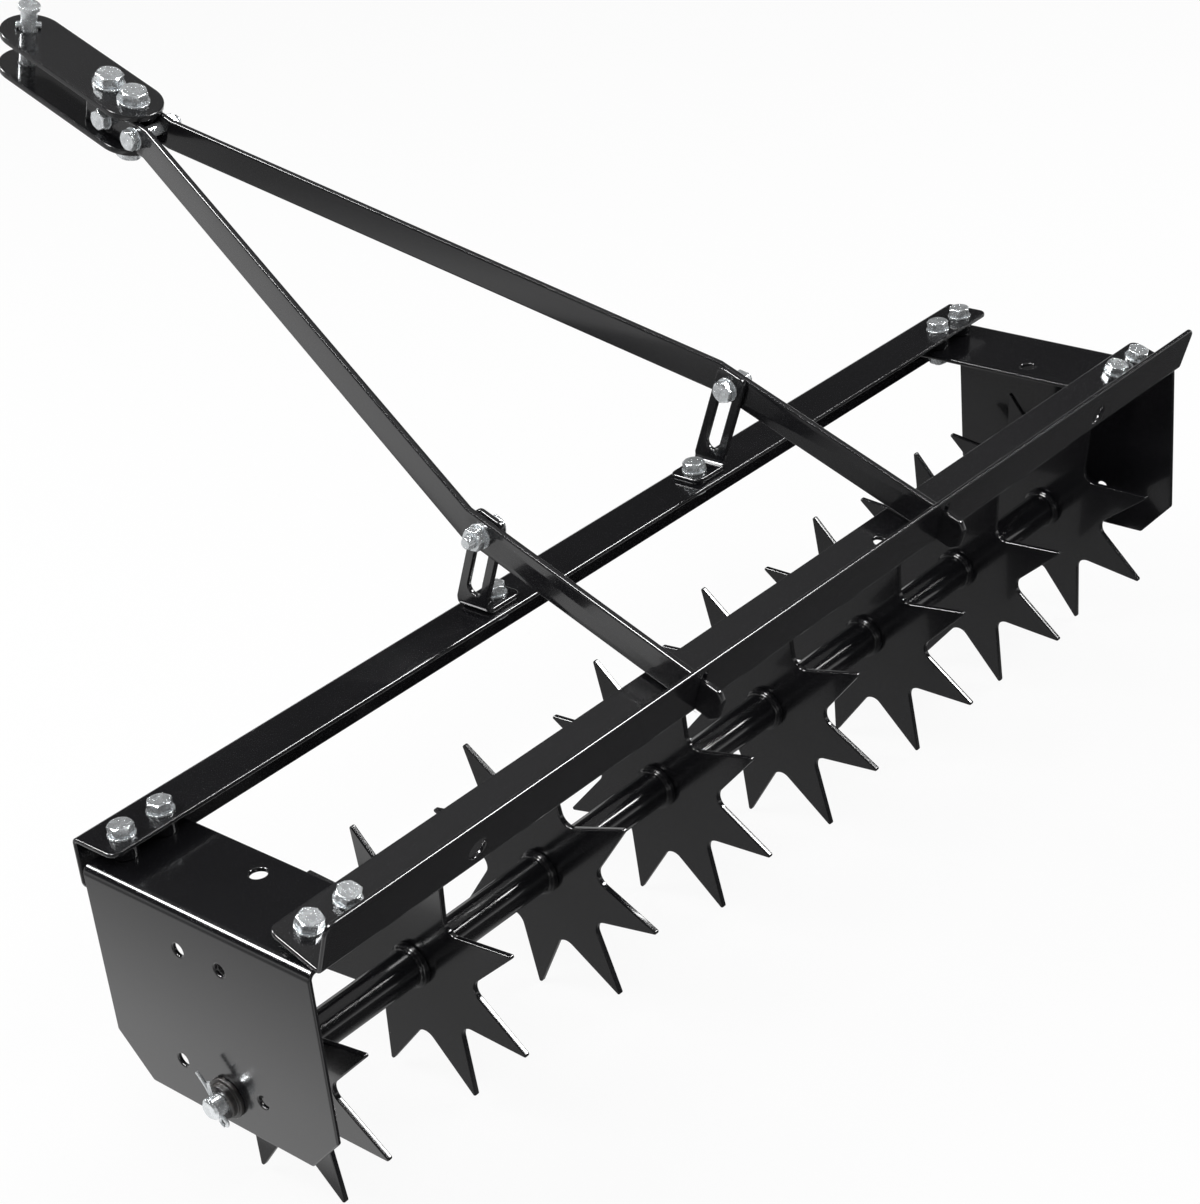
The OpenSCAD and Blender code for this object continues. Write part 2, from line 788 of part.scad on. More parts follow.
module stub() {
    chamfer = 1.5;
    plug_start = tube_end_x - plug_l;
    difference() {
        on_axle_left(plug_start) {
            cylinder(d = tube_d - 2 * tube_wall, h = plug_l);
            translate([0, 0, plug_l - eps])
                cylinder(d = journal_d, h = axle_end_x - chamfer - tube_end_x + eps);
            translate([0, 0, axle_end_x - chamfer - plug_start])
                cylinder(d1 = journal_d, d2 = journal_d - 2 * chamfer, h = chamfer);
        }
        at_split_pin()
            translate([0, 0, -journal_d / 2]) drill(split_pin_d + 2 * tube_clear, journal_d);
    }
}

module stub_left() {
    color(zinc) stub();
}

module stub_right() {
    color(zinc) on_right() stub();
}

module split_pin() {
    shank_end = journal_d / 2 + over;
    at_split_pin() {
        translate([0, 0, -shank_end]) cylinder(d = split_pin_d, h = 2 * shank_end);
        translate([0, 0, -shank_end - split_eye_r]) rotate([0, 90, 0])
            rotate_extrude() translate([split_eye_r, 0]) circle(d = split_leg_d);
        for (leg = split_pin_legs)
            translate([0, 0, shank_end - over])
                rotate([leg[0], 0, 0]) cylinder(d = split_leg_d, h = leg[1]);
    }
}

module split_pin_left() {
    color(zinc) split_pin();
}

module split_pin_right() {
    color(zinc) on_right() split_pin();
}

module gullets_filled() {
    for (k = [0:tooth_count - 1])
        rotate((2 * k + 1) * half_step)
            polygon([
                [vertex_r - over, 0],
                touch_point(-1),
                [gullet_centre_r, 0],
                touch_point(1)
            ]);
}

// Where the gullet circle meets a flank, seen from the gullet's middle line
function touch_point(s) = [
    vertex_r + touch_back * cos(half_step + tooth_angle / 2),
    s * touch_back * sin(half_step + tooth_angle / 2)
];

module star() {
    for (k = [0:tooth_count - 1])
        rotate(2 * k * half_step)
            polygon([
                [0, 0],
                [vertex_r * cos(half_step), -vertex_r * sin(half_step)],
                [tip_radius, -tip_w / 2],
                [tip_radius, tip_w / 2],
                [vertex_r * cos(half_step), vertex_r * sin(half_step)]
            ]);
}

module disc_outline() {
    difference() {
        union() {
            star();
            gullets_filled();
        }
        for (k = [0:tooth_count - 1])
            rotate((2 * k + 1) * half_step) translate([gullet_centre_r, 0]) circle(gullet_r);
        circle(d = tube_d + tube_clear);
    }
}

module spiked_disc(i) {
    color(paint)
    translate([disc_x(i) - disc_t / 2, axle_y, axle_z])
        rotate([90, 0, 90]) linear_extrude(height = disc_t)
            rotate(disc_phases[i]) disc_outline();
}

module disc_collars() {
    color(paint)
    for (i = [0:disc_count - 1])
        on_axle_left(-disc_x(i) + disc_t / 2) difference() {
            cylinder(d = collar_d, h = collar_l);
            drill(tube_d + tube_clear, collar_l);
        }
}

// Tongue

// One side of the left bar, s half thicknesses from its middle line
function bar_side(s) =
    let (x = s * bar_t / 2, mitre = x * tan(bend_angle / 2))
    [
        [x - bar_x, -tail_out],
        [x - bar_x, bend_reach - mitre],
        [x - hitch_bar_x, hitch_bend_reach - mitre],
        [x - hitch_bar_x, bar_reach]
    ];

module bar_outline() {
    right = bar_side(1);
    polygon(concat(bar_side(-1), [for (i = [len(right) - 1:-1:0]) right[i]]));
}

module tail_waste() {
    side = sqrt(2) * tail_cut;
    translate([-bar_x, -tail_out, 0]) rotate([45, 0, 0])
        cube([2 * bar_t, side, side], center = true);
}

module tow_bar() {
    difference() {
        on_tongue() translate([0, 0, bar_low]) linear_extrude(height = bar_h) bar_outline();
        on_tongue() {
            translate([0, 0, bar_low]) tail_waste();
            translate([0, 0, bar_high]) tail_waste();
            translate([-bar_x - bar_t / 2, lift_reach, bar_mid])
                rotate([0, 90, 0]) drill(bolt_hole_d, bar_t);
            for (u = cross_bolt_places)
                translate([-hitch_bar_x - bar_t / 2, u, bar_mid])
                    rotate([0, 90, 0]) drill(bolt_hole_d, bar_t);
        }
    }
}

module tow_bar_left() {
    color(paint) tow_bar();
}

module tow_bar_right() {
    color(paint) on_right() tow_bar();
}

module hitch_plate(n) {
    on_tongue() translate([0, 0, n]) difference() {
        translate([0, plate_reach, 0]) rotate(90)
            linear_extrude(height = hitch_plate_t) obround(hitch_plate_l, hitch_plate_w);
        for (u = upright_bolt_places) translate([0, u, 0]) drill(upright_hole_d, hitch_plate_t);
        translate([0, pin_reach, 0]) drill(pin_d + pin_clear, hitch_plate_t);
    }
}

module hitch_plate_top() {
    color(paint) hitch_plate(bar_high);
}

module hitch_plate_bottom() {
    color(paint) hitch_plate(plate_low);
}

module at_upright_bolts(n) {
    on_tongue() for (u = upright_bolt_places) translate([0, u, n]) children();
}

// Cross bolts and slot bolts lie level, with Z pointing to the left
module at_cross_bolts(x) {
    on_tongue()
        for (u = cross_bolt_places) translate([-x, u, bar_mid]) rotate([0, -90, 0]) children();
}

module at_slot_bolts(x) {
    left_and_right()
        on_tongue() translate([-x, lift_reach, bar_mid]) rotate([0, 90, 0]) children();
}

module upright_bolts() {
    length = stock_length(upright_grip, upright_nut_h);
    color(zinc) at_upright_bolts(plate_high + washer_t)
        hex_bolt(length, upright_bolt_d, upright_hex_af, upright_head_h);
}

module cross_bolts() {
    color(zinc) at_cross_bolts(hitch_bar_x + bar_t / 2 + washer_t) hex_bolt(stock_length(cross_grip));
}

module hitch_washers() {
    color(zinc) {
        at_upright_bolts(plate_high) washer(upright_washer_d, upright_hole_d);
        at_upright_bolts(plate_low - washer_t) washer(upright_washer_d, upright_hole_d);
        at_cross_bolts(hitch_bar_x + bar_t / 2) washer();
        at_cross_bolts(-hitch_bar_x - bar_t / 2 - washer_t) washer();
    }
}

module hitch_nuts() {
    color(zinc) {
        at_upright_bolts(plate_low - washer_t - upright_nut_h)
            hex_nut(upright_bolt_d, upright_hex_af, upright_nut_h);
        at_cross_bolts(-hitch_bar_x - bar_t / 2 - washer_t - nut_h) hex_nut();
    }
}

module slot_bolts() {
    color(zinc) at_slot_bolts(leg_inner_x - lift_gap - washer_t) hex_bolt(stock_length(slot_grip));
}

module slot_washers() {
    color(zinc) {
        at_slot_bolts(leg_inner_x - lift_gap) washer();
        at_slot_bolts(bar_x + bar_t / 2 + washer_t) washer();
    }
}

module slot_nuts() {
    color(zinc) at_slot_bolts(bar_x + bar_t / 2 + washer_t + nut_h) hex_nut();
}

module hitch_pin() {
    chamfer = 1;
    pin_low = plate_low - pin_out;
    color(zinc)
    on_tongue() translate([0, pin_reach, 0]) {
        translate([0, 0, pin_low]) cylinder(d1 = pin_d - 2 * chamfer, d2 = pin_d, h = chamfer);
        translate([0, 0, pin_low + chamfer - eps])
            cylinder(d = pin_d, h = plate_high + pin_head_rise + 2 * eps - pin_low - chamfer);
        translate([0, 0, plate_high + seat_clear + pin_stop_d / 2])
            rotate([0, 0, pin_stop_turn]) rotate([0, 90, 0])
                cylinder(d = pin_stop_d, h = pin_stop_l, center = true);
        translate([0, 0, plate_high + pin_head_rise]) {
            cylinder(d = pin_head_d, h = pin_head_h / 2 + eps);
            translate([0, 0, pin_head_h / 2])
                cylinder(d1 = pin_head_d, d2 = pin_head_d - pin_head_h, h = pin_head_h / 2);
        }
    }
}

// Output

on_ground() bracket_left();
on_ground() bracket_right();
on_ground() front_rail();
on_ground() rear_rail();
on_ground() rear_seat_left();
on_ground() rear_seat_right();
on_ground() front_spacers();
on_ground() front_rail_bolts();
on_ground() front_rail_washers();
on_ground() front_rail_nuts();
on_ground() rear_rail_bolts();
on_ground() rear_rail_washers();
on_ground() rear_taper_washers();
on_ground() rear_rail_nuts();
on_ground() lift_bracket_left();
on_ground() lift_bracket_right();
on_ground() foot_bolts();
on_ground() foot_washers();
on_ground() foot_nuts();
on_ground() bushing_left();
on_ground() bushing_right();
on_ground() axle_tube();
on_ground() stub_left();
on_ground() stub_right();
on_ground() split_pin_left();
on_ground() split_pin_right();
for (i = [0:disc_count - 1])
    on_ground() spiked_disc(i);
on_ground() disc_collars();
on_ground() tow_bar_left();
on_ground() tow_bar_right();
on_ground() hitch_plate_top();
on_ground() hitch_plate_bottom();
on_ground() upright_bolts();
on_ground() cross_bolts();
on_ground() hitch_washers();
on_ground() hitch_nuts();
on_ground() slot_bolts();
on_ground() slot_washers();
on_ground() slot_nuts();
on_ground() hitch_pin();
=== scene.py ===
"""Looks of a tow behind aerator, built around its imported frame: gloss black sheet and bars,
zinc-plated hardware, welded collars, nylon bushings, and a plain studio."""

import json
import math

import bmesh
import bpy
from mathutils import Matrix, Vector


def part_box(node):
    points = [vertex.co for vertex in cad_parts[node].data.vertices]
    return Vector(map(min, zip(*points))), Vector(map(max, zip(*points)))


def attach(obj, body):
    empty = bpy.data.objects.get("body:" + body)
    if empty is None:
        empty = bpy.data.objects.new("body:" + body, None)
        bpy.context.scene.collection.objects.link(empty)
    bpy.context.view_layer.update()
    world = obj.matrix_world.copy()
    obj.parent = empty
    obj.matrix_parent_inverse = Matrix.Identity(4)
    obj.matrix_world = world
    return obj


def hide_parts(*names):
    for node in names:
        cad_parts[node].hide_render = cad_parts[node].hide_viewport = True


bl_info = {
    "name": "Tow Behind Aerator",
    "version": (1, 0, 0),
    "blender": (4, 5, 0),
    "location": "3D View > Sidebar > Aerator",
    "description": "Dresses the aerator's frame in paint, zinc and nylon and sets up a plain studio",
    "category": "Object",
}

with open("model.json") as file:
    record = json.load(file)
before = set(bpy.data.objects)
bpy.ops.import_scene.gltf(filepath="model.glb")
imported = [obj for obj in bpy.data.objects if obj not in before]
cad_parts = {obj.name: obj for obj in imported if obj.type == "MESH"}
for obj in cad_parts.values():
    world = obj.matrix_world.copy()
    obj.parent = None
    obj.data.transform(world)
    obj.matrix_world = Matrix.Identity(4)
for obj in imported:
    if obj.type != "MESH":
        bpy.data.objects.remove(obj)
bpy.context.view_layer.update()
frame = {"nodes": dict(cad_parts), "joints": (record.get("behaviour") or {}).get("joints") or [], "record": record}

MM = 0.001
BODY_OF = {node: body for body, nodes in frame["record"]["behaviour"]["bodies"].items() for node in nodes}

# Directions of the hardware, from the joints and the way each piece is bolted
TONGUE_UP = Vector(next(j["axis"] for j in frame["joints"] if j["name"] == "pin_lift")).normalized()
AXLE_PLACE = Vector(next(j["pos_m"] for j in frame["joints"] if j["name"] == "drum_spin"))
RAIL_TILT = math.radians(19)
RAIL_UP = Vector((0, -math.sin(RAIL_TILT), math.cos(RAIL_TILT)))
UP = Vector((0, 0, 1))
LEFT = Vector((-1, 0, 0))
RIGHT = Vector((1, 0, 0))


class Hardware:
    """Sizes of one kind of bolt and its nut."""

    def __init__(self, radius, flats, head):
        self.radius = radius * MM
        self.flats = flats * MM
        self.head = head * MM


FRAME_HARDWARE = Hardware(radius=4.75, flats=14.3, head=6.2)
HITCH_HARDWARE = Hardware(radius=6.35, flats=19.0, head=7.8)

# The part of the tube's length that a collar takes up, beside its disc
COLLAR_LENGTH = 5 * MM

# Edges that turn by more than this are rounded on sheet, bars and discs
SHARP_TURN = math.radians(38)

# How wide the rounding is in tight places, as a part of its full width
TIGHT_SHARE = 0.25

# Directions in which gloss mirrors a bright panel. A panel starts and is at its full brightness where
# the cosine of the angle to its direction reaches these two values.
PANELS = ((0.61, -0.42, 0.67), (-0.25, 0.62, 0.744), (-0.42, 0.11, 0.90))
PANEL_RIM = 0.988
PANEL_FULL = 0.995


# Sizes and colours that a user would change

class AeratorSizes(bpy.types.PropertyGroup):
    """Small shapes that the frame leaves plain."""
    sheet_edge: bpy.props.FloatProperty(
        name="Sheet edge", description="Rounding along the edges of the bent sheet",
        default=1.2 * MM, min=0, unit="LENGTH")
    bar_edge: bpy.props.FloatProperty(
        name="Bar edge", description="Rounding along the edges of the tow bars",
        default=1.7 * MM, min=0, unit="LENGTH")
    disc_edge: bpy.props.FloatProperty(
        name="Disc edge", description="Rounding along the edges of the spiked discs",
        default=0.9 * MM, min=0, unit="LENGTH")
    hardware_edge: bpy.props.FloatProperty(
        name="Hardware edge", description="Rounding along the edges of bolts, nuts and washers",
        default=0.3 * MM, min=0, unit="LENGTH")
    thread_pitch: bpy.props.FloatProperty(
        name="Thread pitch", description="Rise of the bolts' thread in one turn",
        default=1.6 * MM, min=0, unit="LENGTH")
    thread_depth: bpy.props.FloatProperty(
        name="Thread depth", description="Height of the bolts' thread over its core",
        default=0.8 * MM, min=0, unit="LENGTH")
    thread_length: bpy.props.FloatProperty(
        name="Thread length", description="Length of the thread at the end of each bolt",
        default=15 * MM, min=0, unit="LENGTH")
    collar_edge: bpy.props.FloatProperty(
        name="Collar edge", description="Rounding along the edges of the collars beside the discs",
        default=2.4 * MM, min=0, unit="LENGTH")
    weld_bead: bpy.props.FloatProperty(
        name="Weld bead", description="Radius of the weld beads beside the discs and collars",
        default=1.7 * MM, min=0, unit="LENGTH")
    split_wire: bpy.props.FloatProperty(
        name="Split pin wire", description="Radius of the wire that the split pins are bent from",
        default=1.2 * MM, min=0, unit="LENGTH")


class AeratorFinish(bpy.types.PropertyGroup):
    """Colours of the finishes."""
    paint: bpy.props.FloatVectorProperty(
        name="Paint", description="Gloss black powder coat", subtype="COLOR",
        default=(0.0065, 0.0065, 0.0075), min=0, max=1)
    zinc: bpy.props.FloatVectorProperty(
        name="Zinc", description="Bright zinc plate", subtype="COLOR",
        default=(0.88, 0.91, 0.93), min=0, max=1)
    nylon: bpy.props.FloatVectorProperty(
        name="Nylon", description="Moulded nylon of the bushings", subtype="COLOR",
        default=(0.016, 0.015, 0.015), min=0, max=1)


class AeratorStudio(bpy.types.PropertyGroup):
    """Camera and lights."""
    camera_place: bpy.props.FloatVectorProperty(
        name="Camera", description="Where the camera stands", subtype="TRANSLATION",
        default=(-1.1644, -1.2578, 1.0301))
    camera_aim: bpy.props.FloatVectorProperty(
        name="Aim", description="The point that the camera looks at", subtype="TRANSLATION",
        default=(-0.0911, -0.1709, 0.1763))
    camera_roll: bpy.props.FloatProperty(
        name="Roll", description="Turn of the camera about its line of sight", subtype="ANGLE",
        default=math.radians(-7.05))
    lens: bpy.props.FloatProperty(
        name="Lens", description="Focal length in millimetres on a 36 mm sensor", default=77.71)
    shift: bpy.props.FloatVectorProperty(
        name="Shift", description="Shift of the lens, in parts of the sensor", size=2,
        default=(0.0715, 0.0504))
    ahead_power: bpy.props.FloatProperty(
        name="Light ahead", description="Power of the long light ahead on the left, in watts", default=34)
    side_power: bpy.props.FloatProperty(
        name="Light beside", description="Power of the long light on the right, in watts", default=26)
    ceiling_power: bpy.props.FloatProperty(
        name="Ceiling light", description="Power of the light behind and above the camera, in watts",
        default=10)
    surround: bpy.props.FloatProperty(
        name="Surround", description="Strength of the even light from all around", default=0.55)
    panel: bpy.props.FloatProperty(
        name="Panels", description="Strength of the bright panels that the edges mirror", default=60.0)


# Shader maths as plain expressions

class Wire:
    """A socket that carries a number, a colour or a vector, with the sums that are used here."""

    def __init__(self, shader, socket):
        self.shader = shader
        self.socket = socket

    def math(self, operation, first, second):
        return self.shader.node("Math", {"operation": operation}, {0: first, 1: second})

    def __add__(self, other):
        return self.math("ADD", self, other)

    def __mul__(self, other):
        return self.math("MULTIPLY", self, other)

    __radd__ = __add__
    __rmul__ = __mul__


class Shader:
    """The nodes of one material or of the world."""

    def __init__(self, owner):
        owner.use_nodes = True
        self.nodes = owner.node_tree.nodes
        self.links = owner.node_tree.links
        self.nodes.clear()

    def node(self, kind, settings=None, values=None, output=0):
        made = self.nodes.new("ShaderNode" + kind)
        for name, value in (settings or {}).items():
            if name == "stops":
                self.set_stops(made.color_ramp, value)
            else:
                setattr(made, name, value)
        for name, value in (values or {}).items():
            if isinstance(value, Wire):
                self.links.new(value.socket, made.inputs[name])
            else:
                made.inputs[name].default_value = value
        return Wire(self, made.outputs[output]) if made.outputs else None

    def set_stops(self, ramp, stops):
        while len(ramp.elements) < len(stops):
            ramp.elements.new(1)
        for element, (place, level) in zip(ramp.elements, stops):
            element.position = place
            element.color = (level, level, level, 1)

    def ramp(self, value, *stops):
        return self.node("ValToRGB", {"stops": stops}, {"Fac": value})

    def noise(self, place, scale, detail):
        return self.node("TexNoise", None, {"Vector": place, "Scale": scale, "Detail": detail})

    def mix(self, amount, first, second):
        return self.node("Mix", {"data_type": "RGBA"}, {0: amount, 6: first, 7: second}, 2)

    def rays(self):
        """Which kind of ray looks here: one wire each for the camera, for gloss and for transmission."""
        path = self.node("LightPath").socket.node
        kinds = ("Is Camera Ray", "Is Glossy Ray", "Is Transmission Ray")
        return [Wire(self, path.outputs[kind]) for kind in kinds]

    def finish(self, kind, surface):
        self.node("Output" + kind, None, {"Surface": surface})


def rgba(colour, level=1.0):
    """A colour as a socket takes it, made darker or lighter by a level."""
    return tuple(min(1.0, part * level) for part in colour[:3]) + (1.0,)


def paint_material(colour):
    """Gloss powder coat: a faint orange peel, cloudy gloss and a dust of lighter specks."""
    made = bpy.data.materials.new("gloss_black_paint")
    s = Shader(made)
    place = s.node("TexCoord", output=3)
    peel = s.noise(place, 620, 2.0)
    clouds = s.noise(place, 9, 3.0)
    specks = s.ramp(s.noise(place, 2600, 1.0), (0.70, 0), (0.76, 1))
    tone = s.mix(clouds, rgba(colour, 0.75), rgba(colour, 1.35))
    tone = s.mix(specks * 0.22, tone, (0.16, 0.16, 0.17, 1))
    bump = s.node("Bump", None, {"Strength": 0.055, "Distance": 0.0004, "Height": peel})
    s.finish("Material", s.node("BsdfPrincipled", None, {
        "Base Color": tone,
        "Roughness": 0.13 + clouds * 0.10 + specks * 0.15,
        "Normal": bump,
        "Coat Weight": 0.5,
        "Coat Roughness": 0.06,
    }))
    return made


def zinc_material(colour):
    """Bright zinc plate: bluish silver, cloudy, with fine scuffs."""
    made = bpy.data.materials.new("bright_zinc_plate")
    s = Shader(made)
    place = s.node("TexCoord", output=3)
    clouds = s.noise(place, 240, 4.0)
    stretched = s.node("Mapping", None, {"Vector": place, "Scale": (1, 1, 6)})
    scuffs = s.noise(stretched, 900, 3.0)
    tone = s.mix(s.ramp(clouds, (0.35, 0), (0.7, 1)), rgba(colour, 0.80), rgba(colour, 1.06))
    bump = s.node("Bump", None, {"Strength": 0.12, "Distance": 0.0002, "Height": scuffs})
    s.finish("Material", s.node("BsdfPrincipled", None, {
        "Base Color": tone,
        "Metallic": 0.75,
        "Roughness": 0.12 + clouds * 0.28,
        "Normal": bump,
    }))
    return made


def nylon_material(colour):
    """Moulded nylon: dull black with a fine grain and a greyer rubbed face."""
    made = bpy.data.materials.new("black_nylon")
    s = Shader(made)
    place = s.node("TexCoord", output=3)
    grain = s.noise(place, 1500, 3.0)
    rubbed = s.ramp(s.noise(place, 160, 3.0), (0.45, 0), (0.75, 1))
    tone = s.mix(rubbed * 0.5, rgba(colour), (0.075, 0.066, 0.060, 1))
    bump = s.node("Bump", None, {"Strength": 0.2, "Distance": 0.0002, "Height": grain})
    s.finish("Material", s.node("BsdfPrincipled", None, {
        "Base Color": tone,
        "Roughness": 0.34 + rubbed * 0.2,
        "Normal": bump,
    }))
    return made


MATERIALS = {"black_paint": paint_material, "zinc_plate": zinc_material, "black_nylon": nylon_material}
COLOURS = {"black_paint": "paint", "zinc_plate": "zinc", "black_nylon": "nylon"}
made_materials = {}


def material(slot):
    """The finish of a material slot, made on its first use."""
    if slot not in made_materials:
        colour = getattr(bpy.context.scene.aerator_finish, COLOURS[slot])
        made_materials[slot] = MATERIALS[slot](colour)
    return made_materials[slot]


# Modelling steps

# Corners of a frame node that lie closer than this are one corner
WELD_DISTANCE = 2e-6

# Neighbouring faces that turn by less than this are one flat face
FLAT_TURN = math.radians(0.6)


def choose(piece):
    """Makes one piece the only selected and active one."""
    bpy.ops.object.select_all(action="DESELECT")
    piece.select_set(True)
    bpy.context.view_layer.objects.active = piece


def add_modifier(piece, kind, **settings):
    """Adds a modifier and applies it."""
    choose(piece)
    modifier = piece.modifiers.new(kind.lower(), kind)
    for name, value in settings.items():
        setattr(modifier, name, value)
    bpy.ops.object.modifier_apply(modifier=modifier.name)


def round_edges(piece, width, segments=3, angle=38):
    """Rounds the sharp edges, no wider than the shortest edges allow."""
    add_modifier(piece, "BEVEL", width=width, segments=segments, limit_method="ANGLE",
                 angle_limit=math.radians(angle))
    keep_flats(piece)


def round_evenly(piece, width, tight=None):
    """Rounds the sharp edges at one even width, and those in tight places more narrowly."""
    mesh = bmesh.new()
    mesh.from_mesh(piece.data)
    weight = mesh.edges.layers.float.new("bevel_weight_edge")
    for edge in mesh.edges:
        if edge.calc_face_angle(0) > SHARP_TURN:
            middle = (edge.verts[0].co + edge.verts[1].co) / 2
            edge[weight] = TIGHT_SHARE if tight and tight(middle) else 1.0
    mesh.to_mesh(piece.data)
    mesh.free()
    add_modifier(piece, "BEVEL", width=width, segments=3, limit_method="WEIGHT", use_clamp_overlap=False,
                 loop_slide=False)
    keep_flats(piece)


def smooth(piece, angle=36):
    """Shades a piece smooth over turns smaller than the angle."""
    choose(piece)
    bpy.ops.object.shade_smooth_by_angle(angle=math.radians(angle))


def keep_flats(piece):
    """Shades a rounded piece smooth and keeps its flat faces flat to the light."""
    smooth(piece)
    add_modifier(piece, "WEIGHTED_NORMAL", keep_sharp=True)


def cad_copy(node, name):
    """A copy of a frame node as one welded mesh with its flat faces whole."""
    piece = bpy.data.objects.new(name, frame["nodes"][node].data.copy())
    bpy.context.scene.collection.objects.link(piece)
    piece.data.materials.clear()
    choose(piece)
    bpy.ops.mesh.customdata_custom_splitnormals_clear()
    bpy.ops.object.mode_set(mode="EDIT")
    bpy.ops.mesh.select_all(action="SELECT")
    bpy.ops.mesh.remove_doubles(threshold=WELD_DISTANCE)
    bpy.ops.mesh.dissolve_limited(angle_limit=FLAT_TURN)
    leave_edit()
    return piece


def islands(node):
    """The corners of each separate solid in a frame node."""
    mesh = bmesh.new()
    mesh.from_mesh(frame["nodes"][node].data)
    bmesh.ops.remove_doubles(mesh, verts=mesh.verts, dist=WELD_DISTANCE)
    seen = set()
    found = []
    for first in mesh.verts:
        if first in seen:
            continue
        seen.add(first)
        queue = [first]
        corners = []
        while queue:
            corner = queue.pop()
            corners.append(corner.co.copy())
            for edge in corner.link_edges:
                other = edge.other_vert(corner)
                if other not in seen:
                    seen.add(other)
                    queue.append(other)
        found.append(corners)
    mesh.free()
    return sorted(found, key=rounded_middle)


def rounded_middle(corners):
    """The middle of some corners, rounded so that solids always come in the same order."""
    return tuple(round(sum(corner[i] for corner in corners) / len(corners), 4) for i in range(3))


def span(corners, axis):
    """Lowest and highest place of some corners along an axis."""
    places = [corner.dot(axis) for corner in corners]
    return min(places), max(places)


def placed(corners, axis, side, seat, turn=0.0):
    """The matrix that stands a piece on a seat along an axis, in the middle of a solid's corners."""
    other = axis.cross(side)
    middle = sum((direction * (sum(span(corners, direction)) / 2) for direction in (side, other)), Vector())
    turned = Matrix((side, other, axis)).transposed().to_4x4() @ Matrix.Rotation(turn, 4, "Z")
    return Matrix.Translation(middle + axis * seat) @ turned


def joined(pieces, name):
    """Several pieces as one, with its place in its mesh."""
    choose(pieces[0])
    for piece in pieces[1:]:
        piece.select_set(True)
    if len(pieces) > 1:
        bpy.ops.object.join()
    whole = bpy.context.object
    whole.name = name
    bpy.ops.object.transform_apply(location=True, rotation=True, scale=True)
    return whole


def twin(piece, matrix):
    """A copy of a finished piece with its own mesh, at another place."""
    copy = bpy.data.objects.new(piece.name + "_copy", piece.data.copy())
    bpy.context.scene.collection.objects.link(copy)
    copy.data.transform(matrix)
    return copy


def remove(*pieces):
    """Deletes pieces that have served their turn."""
    for piece in pieces:
        bpy.data.objects.remove(piece)


def hand_over(piece, slot, *nodes, body=None):
    """Gives a piece its finish and its body, and lets it stand for frame nodes."""
    piece.data.materials.clear()
    piece.data.materials.append(material(slot))
    for face in piece.data.polygons:
        face.material_index = 0
    if nodes:
        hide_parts(*nodes)
    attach(piece, body or BODY_OF[nodes[0]])


def cut(piece, tool, operation):
    """Intersects a piece with a tool, or takes the tool out of it, and deletes the tool."""
    add_modifier(piece, "BOOLEAN", operation=operation, solver="EXACT", object=tool)
    remove(tool)


def cylinder(radius, low, high, sides=48):
    """An upright cylinder about the Z axis between two heights."""
    bpy.ops.mesh.primitive_cylinder_add(
        vertices=sides, radius=radius, depth=high - low, location=(0, 0, (low + high) / 2))
    made = bpy.context.object
    bpy.ops.object.transform_apply(location=True, rotation=True, scale=True)
    return made


def edit_faces(piece, wanted):
    """Goes into edit mode with only the wanted faces selected."""
    choose(piece)
    bpy.ops.object.mode_set(mode="EDIT")
    bpy.ops.mesh.select_mode(type="FACE")
    bpy.ops.mesh.select_all(action="DESELECT")
    mesh = bmesh.from_edit_mesh(piece.data)
    for face in mesh.faces:
        face.select = wanted(face)
    mesh.select_flush_mode()
    bmesh.update_edit_mesh(piece.data)


def leave_edit():
    """Goes back from edit mode to object mode."""
    bpy.ops.object.mode_set(mode="OBJECT")


def chamfer_hexagon(prism, flats, low, high, at_top):
    """Cuts one end of a hexagon to the 30 degree cone of a turned bar."""
    slope = math.tan(math.radians(30))
    rim = flats * 0.475
    run = high - low + MM
    past = 0.5 * MM
    wide = rim + run / slope
    narrow = rim - past / slope
    bottom = low - MM if at_top else low - past
    bpy.ops.mesh.primitive_cone_add(
        vertices=72, radius1=wide if at_top else narrow, radius2=narrow if at_top else wide,
        depth=run + past, location=(0, 0, bottom + (run + past) / 2))
    cut(prism, bpy.context.object, "INTERSECT")


def hexagon(flats, low, high, ends):
    """An upright hexagon, chamfered at its top for each true and at its bottom for each false."""
    prism = cylinder(flats / 2 / math.cos(math.radians(30)), low, high, 6)
    for at_top in ends:
        chamfer_hexagon(prism, flats, low, high, at_top)
    return prism


def thread(sizes, radius, low, turns):
    """A closed helical ridge round the core of a bolt."""
    sunk = 0.05 * MM
    core = radius - sizes.thread_depth - sunk
    bpy.ops.mesh.primitive_circle_add(vertices=3, radius=MM, location=(0, 0, 0))
    ridge = bpy.context.object
    half = sizes.thread_pitch * 0.46
    for corner, place in zip(ridge.data.vertices, ((core, -half), (radius, 0), (core, half))):
        corner.co = (place[0], 0, low + place[1])
    add_modifier(ridge, "SCREW", axis="Z", angle=math.tau, screw_offset=sizes.thread_pitch,
                 iterations=turns, steps=20, render_steps=20, use_merge_vertices=False)
    choose(ridge)
    bpy.ops.object.mode_set(mode="EDIT")
    bpy.ops.mesh.select_all(action="SELECT")
    bpy.ops.mesh.fill_holes(sides=3)
    bpy.ops.mesh.normals_make_consistent(inside=False)
    leave_edit()
    return ridge


